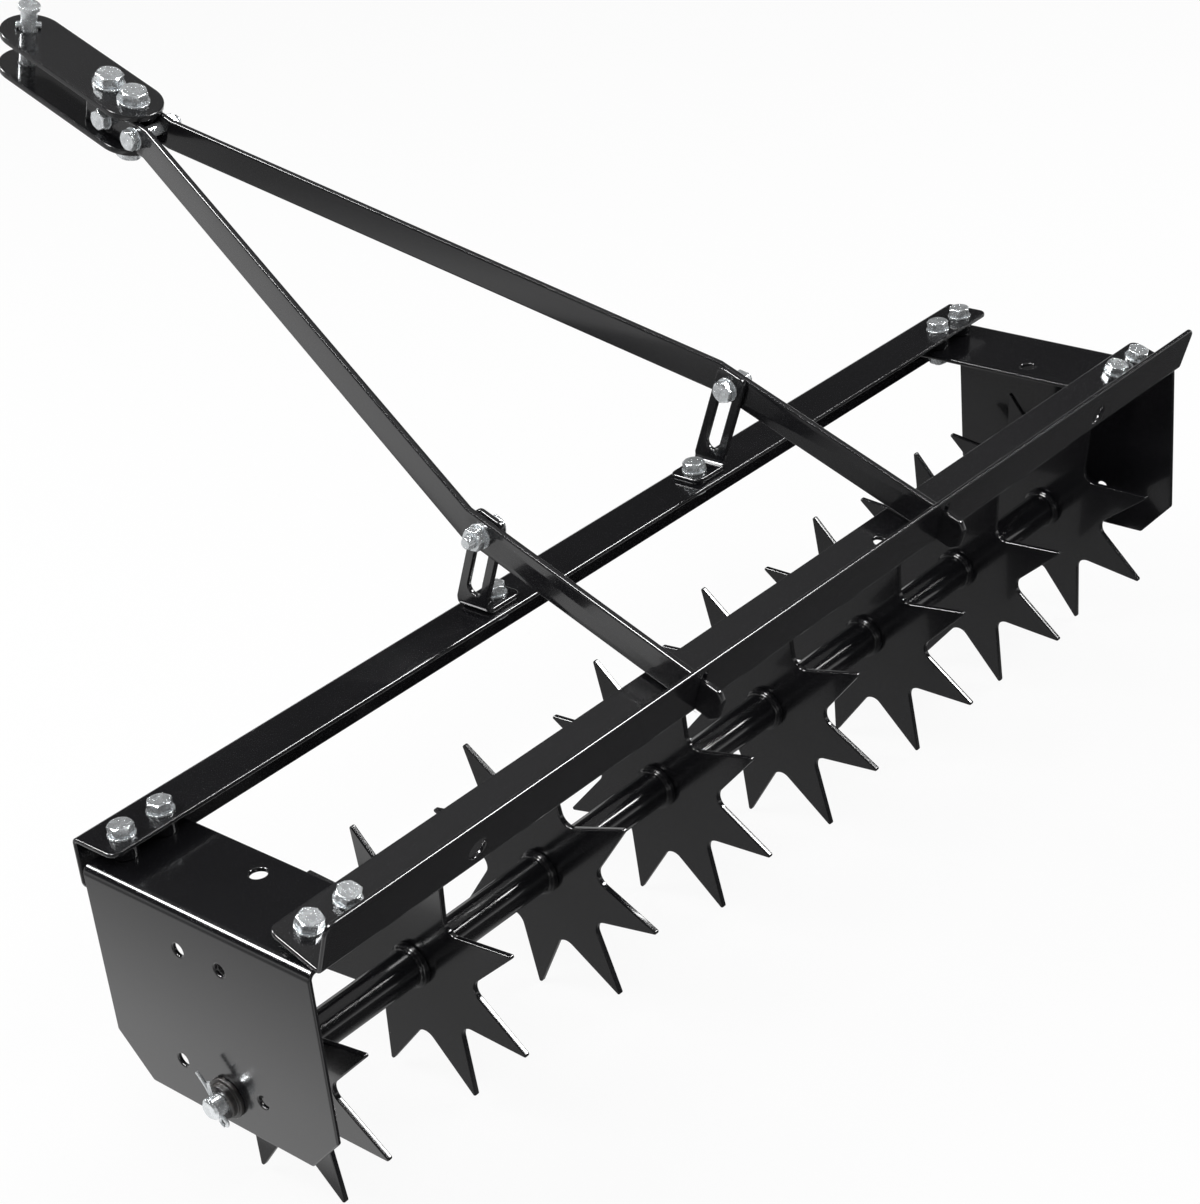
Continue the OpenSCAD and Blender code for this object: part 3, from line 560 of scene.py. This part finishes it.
def bolt(sizes, kind, length):
    """A hexagon bolt that stands on its seat at zero with its shank below."""
    face = 0.5 * MM
    dish_rim = kind.flats * 0.07
    dish_depth = 0.2 * MM
    lead_in = 0.8 * MM
    seat_radius = kind.flats * 0.465
    plain_radius = kind.radius - 0.03 * MM
    thread_low = -length
    thread_high = sizes.thread_length - length
    head = hexagon(kind.flats, face, kind.head, (True,))
    edit_faces(head, lambda f: f.normal.z > 0.9 and f.calc_center_median().z > kind.head - 0.01 * MM)
    bpy.ops.mesh.inset(thickness=dish_rim, depth=-dish_depth)
    leave_edit()
    round_edges(head, sizes.hardware_edge, angle=50)
    seat = cylinder(seat_radius, 0, face + 0.2 * MM)
    plain = cylinder(plain_radius, thread_high, face, 40)
    core = cylinder(kind.radius - sizes.thread_depth, thread_low, thread_high + MM, 40)
    round_edges(core, lead_in, angle=50)
    turns = int((sizes.thread_length - MM) / sizes.thread_pitch)
    ridge = thread(sizes, kind.radius, thread_low + MM, turns)
    for part in (seat, plain, ridge):
        smooth(part)
    return joined([head, seat, plain, core, ridge], "bolt")


def nut(sizes, kind, height):
    """A hexagon nut that stands on zero, chamfered at both ends and bored."""
    clearance = 0.05 * MM
    body = hexagon(kind.flats, 0, height, (True, False))
    cut(body, cylinder(kind.radius + clearance, -MM, height + MM), "DIFFERENCE")
    round_edges(body, sizes.hardware_edge, angle=50)
    return body


# Operators, one for each piece or group of like pieces

class AERATOR_OT_camera(bpy.types.Operator):
    """Set the camera where the picture was taken from"""
    bl_idname = "aerator.camera"
    bl_label = "Camera"

    def execute(self, context):
        studio = context.scene.aerator_studio
        bpy.ops.object.camera_add()
        camera = context.object
        camera.name = "camera"
        place = Vector(studio.camera_place)
        sight = (Vector(studio.camera_aim) - place).to_track_quat("-Z", "Y").to_matrix().to_4x4()
        camera.matrix_world = Matrix.Translation(place) @ sight @ Matrix.Rotation(studio.camera_roll, 4, "Z")
        camera.data.sensor_width = 36
        camera.data.lens = studio.lens
        camera.data.shift_x, camera.data.shift_y = studio.shift
        camera.data.clip_end = 60
        context.scene.camera = camera
        return {"FINISHED"}


class AERATOR_OT_stage(bpy.types.Operator):
    """Lay a pale floor and hang the studio's lights"""
    bl_idname = "aerator.stage"
    bl_label = "Floor and lights"

    def execute(self, context):
        studio = context.scene.aerator_studio
        self.lay_floor()
        self.light_world(context, studio)
        middle = Vector((0.0, -0.1, 0.2))
        self.hang("light_ahead", (-1.25, 1.55, 1.65), middle, (0.75, 2.2), studio.ahead_power, (0, 1, 0))
        self.hang("light_beside", (1.7, -1.4, 1.7), middle, (0.55, 2.4), studio.side_power, (1, 0, 0))
        self.hang("ceiling_light", (-0.9, -1.2, 2.3), middle, (1.2, 1.6), studio.ceiling_power, (1, 1, 0))
        context.scene.view_settings.view_transform = "Standard"
        return {"FINISHED"}

    def lay_floor(self):
        """A pale floor that is plain to the eye, and that gloss mirrors with painted pools of light round the
        machine and painted shade under and near it.
        """
        bpy.ops.mesh.primitive_plane_add(size=60, location=(0, 0, 0))
        floor = bpy.context.object
        floor.name = "floor"
        made = bpy.data.materials.new("pale_floor")
        s = Shader(made)
        camera_ray, glossy, through = s.rays()
        place = s.node("TexCoord", output=3)
        across = s.node("SeparateXYZ", None, {0: place}, 0)
        ahead = s.node("SeparateXYZ", None, {0: place}, 1)
        # Painted light and shade, seen only in gloss: a painted pool of light beside the machine's left end,
        # painted shade under and near the machine, and brighter floor farther out to the sides and ahead
        beside = s.ramp(across * 0.5 + 0.5, (0.12, 0.30), (0.18, 0.56), (0.225, 0.95), (0.27, 1.0),
                        (0.285, 0.03), (0.92, 0.03), (0.97, 0.9))
        painted_pool_ahead = s.ramp(ahead * 0.5 + 0.5, (0.32, 0.06), (0.36, 0.30), (0.525, 0.30), (0.58, 0.03),
                          (0.74, 0.03), (0.84, 0.5))
        painted_light_pool = s.node("Math", {"operation": "MAXIMUM"}, {0: beside, 1: painted_pool_ahead})
        # The camera sees the floor evenly white; gloss sees the painted pools of light and the painted shade
        white_and_painted_pool = s.node("Math", {"operation": "MAXIMUM"}, {0: camera_ray, 1: painted_light_pool})
        glowing = s.node("Math", {"operation": "MAXIMUM"}, {0: camera_ray * 0.9, 1: glossy + through})
        lit = s.node("BsdfDiffuse", None, {"Color": (0.86, 0.86, 0.86, 1)})
        glow = s.node("Emission", None, {"Color": white_and_painted_pool, "Strength": 1.0})
        s.finish("Material", s.node("MixShader", None, {0: glowing, 1: lit, 2: glow}))
        floor.data.materials.append(made)

    def light_world(self, context, studio):
        """White round the horizon, a dim ceiling, and small bright panels that only gloss shows."""
        world = bpy.data.worlds.new("studio")
        context.scene.world = world
        s = Shader(world)
        camera_ray, glossy, through = s.rays()
        direction = s.node("TexCoord", output=0)
        across = s.node("SeparateXYZ", None, {0: direction}, 0)
        ahead = s.node("SeparateXYZ", None, {0: direction}, 1)
        height = s.node("SeparateXYZ", None, {0: direction}, 2)
        ceiling = s.ramp(height, (0.03, 1.0), (0.20, 0.10), (0.32, 0.03), (0.55, 0.04), (0.74, 0.28),
                         (0.95, 0.5))
        panels = 0.0
        for toward in PANELS:
            nearness = across * toward[0] + ahead * toward[1] + height * toward[2]
            panels = panels + s.ramp(nearness, (PANEL_RIM, 0), (PANEL_FULL, 1))
        even = (studio.surround, studio.surround, studio.surround, 1)
        colour = s.mix(glossy + through, even, ceiling + panels * studio.panel)
        colour = s.mix(camera_ray, colour, (1, 1, 1, 1))
        s.finish("World", s.node("Background", None, {"Color": colour, "Strength": 1.0}))

    def hang(self, name, place, target, size, power, along):
        """A soft light whose length lies as near as it can to the direction along it."""
        bpy.ops.object.light_add(type="AREA", location=place)
        lamp = bpy.context.object
        lamp.name = name
        back = (Vector(place) - target).normalized()
        side = back.cross(Vector(along)).normalized()
        lamp.rotation_mode = "QUATERNION"
        lamp.rotation_quaternion = Matrix((side, back.cross(side), back)).transposed().to_quaternion()
        lamp.data.shape = "RECTANGLE"
        lamp.data.size, lamp.data.size_y = size
        lamp.data.energy = power
        lamp.visible_camera = False
        lamp.visible_glossy = False


# Where the middles of the rear rail's two slots lie to the left and right, and how far the tight place
# reaches to each side of them
SLOT_PLACE = 130 * MM
SLOT_REACH = 6 * MM

SHEET_NODES = (
    "bracket_left", "bracket_right", "front_rail", "rear_rail", "rear_seat_left", "rear_seat_right",
    "front_spacers", "lift_bracket_left", "lift_bracket_right", "hitch_plate_top", "hitch_plate_bottom",
)


class AERATOR_OT_sheet(bpy.types.Operator):
    """Round the edges of the brackets, rails and plates and paint them"""
    bl_idname = "aerator.sheet"
    bl_label = "Painted sheet"

    def execute(self, context):
        sizes = context.scene.aerator_sizes
        for node in SHEET_NODES:
            piece = cad_copy(node, "painted_" + node)
            round_evenly(piece, sizes.sheet_edge, self.tight_place(node))
            hand_over(piece, "black_paint", node)
        return {"FINISHED"}

    def tight_place(self, node):
        """Tells where a node's edges lie too close together for the full rounding."""
        if node.startswith("rear_seat"):
            return lambda place: True
        if node == "rear_rail":
            return lambda place: abs(abs(place.x) - SLOT_PLACE) < SLOT_REACH
        return None


class AERATOR_OT_tow_bars(bpy.types.Operator):
    """Round the edges of the tow bars and paint them"""
    bl_idname = "aerator.tow_bars"
    bl_label = "Tow bars"

    def execute(self, context):
        sizes = context.scene.aerator_sizes
        for node in ("tow_bar_left", "tow_bar_right"):
            piece = cad_copy(node, "painted_" + node)
            round_evenly(piece, sizes.bar_edge)
            hand_over(piece, "black_paint", node)
        return {"FINISHED"}


class AERATOR_OT_discs(bpy.types.Operator):
    """Round the edges of the spiked discs and paint them"""
    bl_idname = "aerator.discs"
    bl_label = "Spiked discs"

    def execute(self, context):
        sizes = context.scene.aerator_sizes
        for number in range(1, 9):
            node = f"disc_{number}"
            piece = cad_copy(node, f"spiked_{node}")
            round_evenly(piece, sizes.disc_edge)
            hand_over(piece, "black_paint", node)
        return {"FINISHED"}


class AERATOR_OT_axle(bpy.types.Operator):
    """Paint the axle tube and its collars, add the weld beads and finish the stubs"""
    bl_idname = "aerator.axle"
    bl_label = "Axle"

    def execute(self, context):
        sizes = context.scene.aerator_sizes
        tube = cad_copy("axle_tube", "painted_axle_tube")
        round_edges(tube, sizes.sheet_edge)
        hand_over(tube, "black_paint", "axle_tube")
        collars = cad_copy("disc_collars", "painted_collars")
        round_edges(collars, sizes.collar_edge, segments=6)
        hand_over(collars, "black_paint", "disc_collars")
        for side in ("left", "right"):
            stub = cad_copy(f"stub_{side}", f"turned_stub_{side}")
            round_edges(stub, sizes.hardware_edge, angle=50)
            hand_over(stub, "zinc_plate", f"stub_{side}")
        self.weld(sizes.weld_bead)
        return {"FINISHED"}

    def weld(self, bead_radius):
        """A bead in the corner between the tube and each collar and the bare side of each disc."""
        ring_radius = 13.0 * MM
        lump_height = 0.9 * MM
        grain = bpy.data.textures.new("weld_lumps", "CLOUDS")
        grain.noise_scale = 5 * MM
        beads = []
        for number in range(1, 9):
            low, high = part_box(f"disc_{number}")
            for face in (low.x - COLLAR_LENGTH, high.x):
                bpy.ops.mesh.primitive_torus_add(
                    major_radius=ring_radius, minor_radius=bead_radius, major_segments=90,
                    minor_segments=12, location=(face, AXLE_PLACE.y, AXLE_PLACE.z),
                    rotation=(0, math.radians(90), 0))
                bead = bpy.context.object
                bpy.ops.object.transform_apply(location=True, rotation=True, scale=True)
                add_modifier(bead, "DISPLACE", texture=grain, strength=lump_height, mid_level=0.5)
                smooth(bead, 60)
                beads.append(bead)
        whole = joined(beads, "weld_beads")
        hand_over(whole, "black_paint", body="drum")


class AERATOR_OT_bushings(bpy.types.Operator):
    """Round the nylon bushings"""
    bl_idname = "aerator.bushings"
    bl_label = "Bushings"

    def execute(self, context):
        for side in ("left", "right"):
            piece = cad_copy(f"bushing_{side}", f"moulded_bushing_{side}")
            round_edges(piece, 0.8 * MM)
            hand_over(piece, "black_nylon", f"bushing_{side}")
        return {"FINISHED"}


def wire_path(points, radius, name):
    """A round wire through some points, as a closed mesh."""
    curve = bpy.data.curves.new(name, "CURVE")
    curve.dimensions = "3D"
    curve.bevel_depth = radius
    curve.bevel_resolution = 4
    curve.use_fill_caps = True
    line = curve.splines.new("POLY")
    line.points.add(len(points) - 1)
    for point, place in zip(line.points, points):
        point.co = (*place, 1)
    piece = bpy.data.objects.new(name, curve)
    bpy.context.scene.collection.objects.link(piece)
    choose(piece)
    bpy.ops.object.convert(target="MESH")
    piece = bpy.context.object
    smooth(piece, 50)
    return piece


class AERATOR_OT_split_pins(bpy.types.Operator):
    """Bend the split pins through the ends of the axle"""
    bl_idname = "aerator.split_pins"
    bl_label = "Split pins"

    def execute(self, context):
        wire = context.scene.aerator_sizes.split_wire
        for side in ("left", "right"):
            node = f"split_pin_{side}"
            low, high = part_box(node)
            place = Vector(((low.x + high.x) / 2, AXLE_PLACE.y, AXLE_PLACE.z))
            eye = self.eye(place, wire)
            long_leg = self.leg(place, wire, -1, (-6, -16, -18), 16)
            short_leg = self.leg(place, wire, 1, (8, 14, 16), 9)
            piece = joined([eye, long_leg, short_leg], f"bent_split_pin_{side}")
            hand_over(piece, "zinc_plate", node)
        return {"FINISHED"}

    def spot(self, place, along, across):
        """A point in the pin's own plane, which stands square to the axle."""
        angle = math.radians(68)
        forward = Vector((0, math.cos(angle), math.sin(angle)))
        sideways = Vector((0, -math.sin(angle), math.cos(angle)))
        return place + forward * along + sideways * across

    def eye(self, place, wire):
        """The open loop of the wire below the stub."""
        radius = 2.9 * MM
        below = 8 * MM
        points = []
        for step in range(25):
            turn = math.radians(20 + 320 * step / 24)
            along = -below - radius - radius * math.cos(turn)
            points.append(self.spot(place, along, -radius * math.sin(turn)))
        return wire_path(points, wire, "eye")

    def leg(self, place, wire, side, turns, length):
        """One half of the wire through the stub, then bent in small steps to its side."""
        across = side * wire * 0.5
        points = [self.spot(place, (step - 4) * 2 * MM, across) for step in range(8)]
        along = 7 * MM
        step_length = length * MM / len(turns)
        for turn in turns:
            along += step_length * math.cos(math.radians(turn))
            across += step_length * math.sin(math.radians(turn))
            points.append(self.spot(place, along, across))
        return wire_path(points, wire, "leg")


# Bolts: node, direction from thread to head, sideways direction, sizes. The heads of the slot bolts face
# the middle, so their direction depends on the side.
BOLT_NODES = (
    ("front_rail_bolts", UP, RIGHT, FRAME_HARDWARE),
    ("rear_rail_bolts", RAIL_UP, RIGHT, FRAME_HARDWARE),
    ("foot_bolts", UP, RIGHT, FRAME_HARDWARE),
    ("upright_bolts", TONGUE_UP, RIGHT, HITCH_HARDWARE),
    ("cross_bolts", LEFT, TONGUE_UP, FRAME_HARDWARE),
    ("slot_bolts", None, TONGUE_UP, FRAME_HARDWARE),
)

# Nuts: node, direction of the bore, sideways direction. The hitch has nuts of both sizes, which are told
# apart by their place.
NUT_NODES = (
    ("front_rail_nuts", UP, RIGHT),
    ("rear_rail_nuts", RAIL_UP, RIGHT),
    ("foot_nuts", UP, RIGHT),
    ("hitch_nuts", None, None),
    ("slot_nuts", RIGHT, TONGUE_UP),
)

WASHER_NODES = (
    "front_rail_washers", "rear_rail_washers", "rear_taper_washers", "foot_washers", "hitch_washers",
    "slot_washers",
)


class AERATOR_OT_bolts(bpy.types.Operator):
    """Stand a threaded hexagon bolt in place of each plain one"""
    bl_idname = "aerator.bolts"
    bl_label = "Bolts"

    def execute(self, context):
        sizes = context.scene.aerator_sizes
        masters = {}
        for node, axis, side, kind in BOLT_NODES:
            copies = []
            for number, corners in enumerate(islands(node)):
                towards = axis or (RIGHT if corners[0].x < 0 else LEFT)
                low, high = span(corners, towards)
                length = round((high - low - kind.head) / MM)
                if (kind, length) not in masters:
                    masters[kind, length] = bolt(sizes, kind, length * MM)
                turn = math.radians((number * 23 + len(node) * 7) % 60)
                spot = placed(corners, towards, side, high - kind.head, turn)
                copies.append(twin(masters[kind, length], spot))
            piece = joined(copies, "plated_" + node)
            hand_over(piece, "zinc_plate", node)
        remove(*masters.values())
        return {"FINISHED"}


class AERATOR_OT_nuts(bpy.types.Operator):
    """Stand a chamfered nut in place of each plain one"""
    bl_idname = "aerator.nuts"
    bl_label = "Nuts"

    def execute(self, context):
        sizes = context.scene.aerator_sizes
        masters = {}
        for node, axis, side in NUT_NODES:
            copies = []
            for number, corners in enumerate(islands(node)):
                towards, sideways, kind = axis, side, FRAME_HARDWARE
                if axis is None and span(corners, RIGHT)[0] > 0:
                    towards, sideways = RIGHT, TONGUE_UP
                elif axis is None:
                    towards, sideways, kind = TONGUE_UP, RIGHT, HITCH_HARDWARE
                low, high = span(corners, towards)
                if kind not in masters:
                    masters[kind] = nut(sizes, kind, high - low)
                turn = math.radians((number * 17 + len(node) * 11) % 60)
                copies.append(twin(masters[kind], placed(corners, towards, sideways, low, turn)))
            piece = joined(copies, "plated_" + node)
            hand_over(piece, "zinc_plate", node)
        remove(*masters.values())
        return {"FINISHED"}


class AERATOR_OT_washers(bpy.types.Operator):
    """Round the edges of the washers"""
    bl_idname = "aerator.washers"
    bl_label = "Washers"

    def execute(self, context):
        sizes = context.scene.aerator_sizes
        for node in WASHER_NODES:
            piece = cad_copy(node, "plated_" + node)
            round_edges(piece, sizes.hardware_edge)
            hand_over(piece, "zinc_plate", node)
        return {"FINISHED"}


class AERATOR_OT_hitch_pin(bpy.types.Operator):
    """Turn the hitch pin with its faceted head and the rolled cross pin that stops it"""
    bl_idname = "aerator.hitch_pin"
    bl_label = "Hitch pin"

    def execute(self, context):
        corners = islands("hitch_pin")[0]
        low, high = span(corners, TONGUE_UP)
        length = high - low
        head = 3.8 * MM
        head_radius = 8.5 * MM
        head_sides = 14
        under_head = length - head
        stop = under_head - 13.7 * MM
        shank = cylinder(HITCH_HARDWARE.radius, 0, under_head + 0.5 * MM, 64)
        round_edges(shank, 1.0 * MM, angle=50)
        top = cylinder(head_radius, under_head, length - 0.6 * MM, head_sides)
        edit_faces(top, lambda f: f.normal.z > 0.9)
        bpy.ops.mesh.inset(thickness=1.5 * MM, depth=0.5 * MM)
        bpy.ops.mesh.inset(thickness=2.6 * MM, depth=-0.25 * MM)
        leave_edit()
        round_edges(top, 0.35 * MM, angle=24)
        piece = joined([shank, top, self.cross_pin(stop)], "turned_hitch_pin")
        piece.data.transform(placed(corners, TONGUE_UP, RIGHT, low))
        hand_over(piece, "zinc_plate", "hitch_pin")
        return {"FINISHED"}

    def cross_pin(self, height):
        """A short rolled pin through the shank, open at both ends."""
        half = 9.5 * MM
        depth = 3 * MM
        made = cylinder(2.5 * MM, -half, half, 32)
        for side in (-1, 1):
            hollow = cylinder(1.3 * MM, side * half - depth, side * half + depth, 24)
            cut(made, hollow, "DIFFERENCE")
        round_edges(made, 0.5 * MM, angle=50)
        turned = Matrix.Rotation(math.radians(-35), 4, "Z") @ Matrix.Rotation(math.radians(90), 4, "Y")
        made.data.transform(Matrix.Translation((0, 0, height)) @ turned)
        return made


OPERATORS = (
    AERATOR_OT_camera, AERATOR_OT_stage, AERATOR_OT_sheet, AERATOR_OT_tow_bars, AERATOR_OT_discs,
    AERATOR_OT_axle, AERATOR_OT_bushings, AERATOR_OT_split_pins, AERATOR_OT_bolts, AERATOR_OT_nuts,
    AERATOR_OT_washers, AERATOR_OT_hitch_pin,
)


class AERATOR_PT_panel(bpy.types.Panel):
    """Lists the aerator's sizes, finishes and steps"""
    bl_idname = "AERATOR_PT_panel"
    bl_label = "Aerator"
    bl_space_type = "VIEW_3D"
    bl_region_type = "UI"
    bl_category = "Aerator"

    def draw(self, context):
        scene = context.scene
        for group in (scene.aerator_sizes, scene.aerator_finish, scene.aerator_studio):
            box = self.layout.box()
            for name in group.bl_rna.properties.keys():
                if name not in ("rna_type", "name"):
                    box.prop(group, name)
        column = self.layout.column(align=True)
        for operator in OPERATORS:
            column.operator(operator.bl_idname)


CLASSES = (AeratorSizes, AeratorFinish, AeratorStudio, *OPERATORS, AERATOR_PT_panel)


def register():
    for cls in CLASSES:
        bpy.utils.register_class(cls)
    bpy.types.Scene.aerator_sizes = bpy.props.PointerProperty(type=AeratorSizes)
    bpy.types.Scene.aerator_finish = bpy.props.PointerProperty(type=AeratorFinish)
    bpy.types.Scene.aerator_studio = bpy.props.PointerProperty(type=AeratorStudio)


def unregister():
    del bpy.types.Scene.aerator_sizes
    del bpy.types.Scene.aerator_finish
    del bpy.types.Scene.aerator_studio
    for cls in reversed(CLASSES):
        bpy.utils.unregister_class(cls)


def main():
    register()
    for operator in OPERATORS:
        getattr(bpy.ops.aerator, operator.bl_idname.split(".")[1])()


if __name__ == "__main__":
    main()
